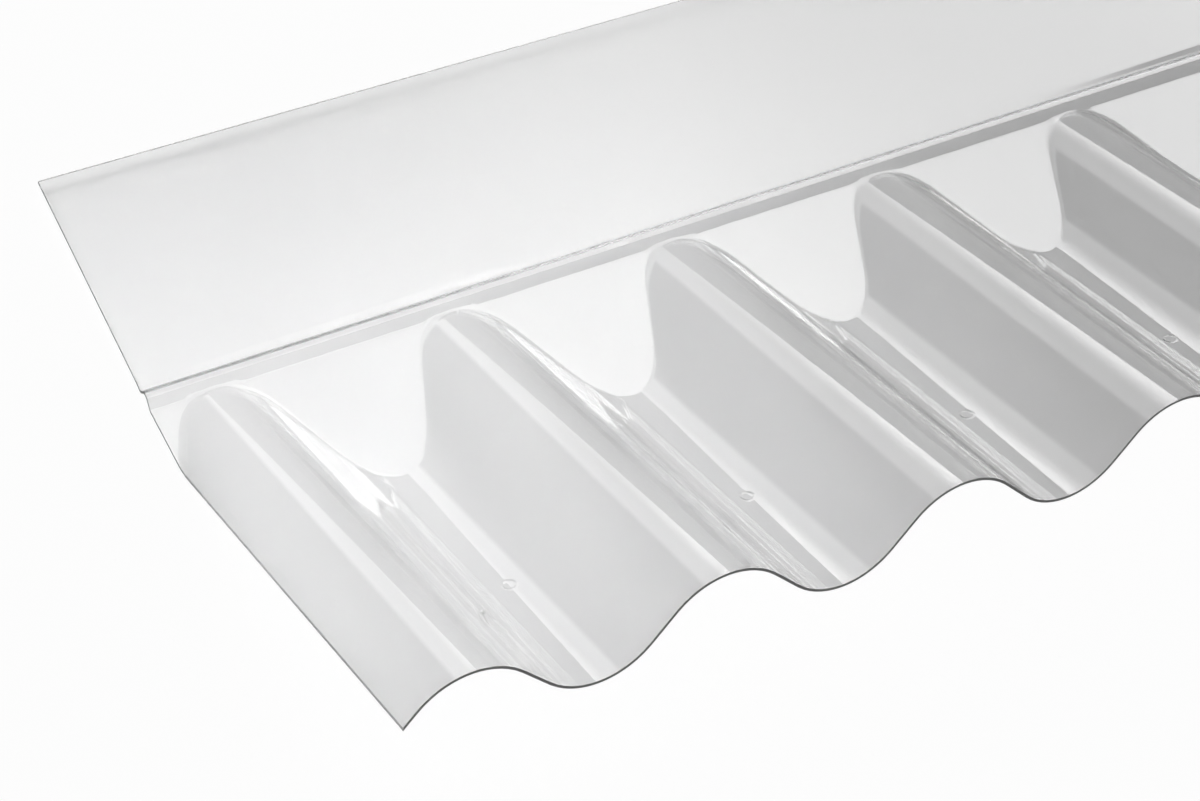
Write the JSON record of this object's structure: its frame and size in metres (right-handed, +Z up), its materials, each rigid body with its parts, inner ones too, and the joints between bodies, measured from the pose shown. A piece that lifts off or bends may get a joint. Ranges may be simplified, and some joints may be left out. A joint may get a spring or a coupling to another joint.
{
  "type": "wall flashing",
  "caption": "Clear corrugated plastic wall flashing: a flat upstand for the wall, a moulded hinge line and a corrugated apron that laps over a roof sheet.",
  "frame": {"origin": "middle of the sheet's box, on the floor that it lies on", "axes": "+X along the wall, +Y towards the upstand and the wall, +Z up from the flat that it lies on"},
  "size_m": [0.95, 0.2146, 0.0615],
  "materials": {
    "clear_pvc": "clear glossy rigid PVC sheet"
  },
  "bodies": {
    "root": {"wall_flashing": "clear_pvc"}
  },
  "joints": []
}
